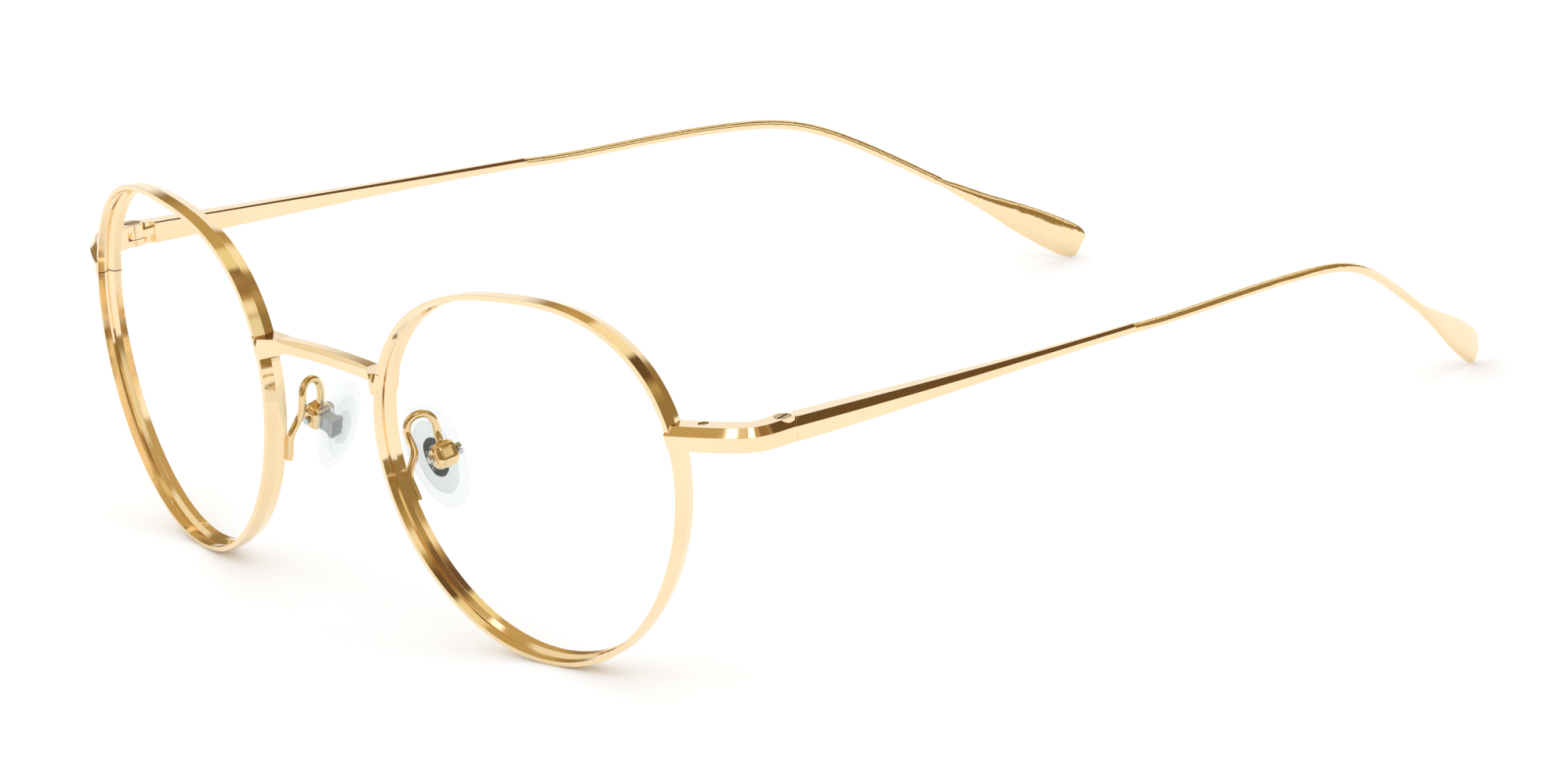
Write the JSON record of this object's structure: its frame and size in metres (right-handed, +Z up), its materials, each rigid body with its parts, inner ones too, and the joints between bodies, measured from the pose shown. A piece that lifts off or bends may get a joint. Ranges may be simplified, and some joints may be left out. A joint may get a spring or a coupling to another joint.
{
  "type": "eyeglasses",
  "caption": "Metal full-rim eyeglasses with clear lenses, folding temples, and soft nose pads that rock on bent wire arms.",
  "frame": {"origin": "on the surface the glasses stand on, at the middle of their width and of their whole length with the temples open", "axes": "+Z up, -Y is the way the wearer looks, +X is the wearer's left"},
  "size_m": [0.1392, 0.1456, 0.0449],
  "materials": {
    "bridge_gold": "mirror polished light gold plate",
    "closing_block_gold": "mirror polished light gold plate",
    "end_piece_gold": "mirror polished light gold plate",
    "lens_clear": "clear, polished, colourless",
    "pad_arm_gold": "mirror polished light gold plate",
    "pad_box_gold": "mirror polished light gold plate",
    "pad_core_metal": "bright nickel plated steel",
    "pad_silicone": "clear soft silicone, smooth moulded",
    "rim_gold": "mirror polished light gold plate",
    "screw_gold": "mirror polished light gold plate",
    "screw_steel": "bright nickel plated steel",
    "temple_gold": "mirror polished light gold plate"
  },
  "bodies": {
    "front": {"bridge": "bridge_gold", "rim_left": "rim_gold", "rim_right": "rim_gold", "lens_left": "lens_clear", "lens_right": "lens_clear", "end_piece_left": "end_piece_gold", "end_piece_right": "end_piece_gold", "closing_block_left": "closing_block_gold", "closing_block_right": "closing_block_gold", "rim_lock_screw_left": "screw_gold", "rim_lock_screw_right": "screw_gold", "hinge_screw_left": "screw_gold", "hinge_screw_right": "screw_gold", "pad_arm_left": "pad_arm_gold", "pad_arm_right": "pad_arm_gold", "pad_box_left": "pad_box_gold", "pad_box_right": "pad_box_gold", "pad_screw_left": "screw_steel", "pad_screw_right": "screw_steel"},
    "temple_left": {"temple_left": "temple_gold"},
    "temple_right": {"temple_right": "temple_gold"},
    "pad_left": {"nose_pad_left": "pad_silicone", "pad_core_left": "pad_core_metal"},
    "pad_right": {"nose_pad_right": "pad_silicone", "pad_core_right": "pad_core_metal"}
  },
  "joints": [
    {"name": "temple_left_fold", "type": "hinge", "parent": "front", "child": "temple_left", "pos_m": [0.0676, -0.05375, 0.0309], "axis": [0, 0, 1], "range_deg": [0, 80]},
    {"name": "temple_right_fold", "type": "hinge", "parent": "front", "child": "temple_right", "pos_m": [-0.0676, -0.05375, 0.0309], "axis": [0, 0, -1], "range_deg": [0, 76]},
    {"name": "pad_left_rock", "type": "hinge", "parent": "front", "child": "pad_left", "pos_m": [0.01324, -0.06444, 0.02026], "axis": [0.15, 0.98, 0.1305], "range_deg": [-10, 10]},
    {"name": "pad_right_rock", "type": "hinge", "parent": "front", "child": "pad_right", "pos_m": [-0.01324, -0.06444, 0.02026], "axis": [0.15, -0.98, -0.1305], "range_deg": [-10, 10]}
  ]
}
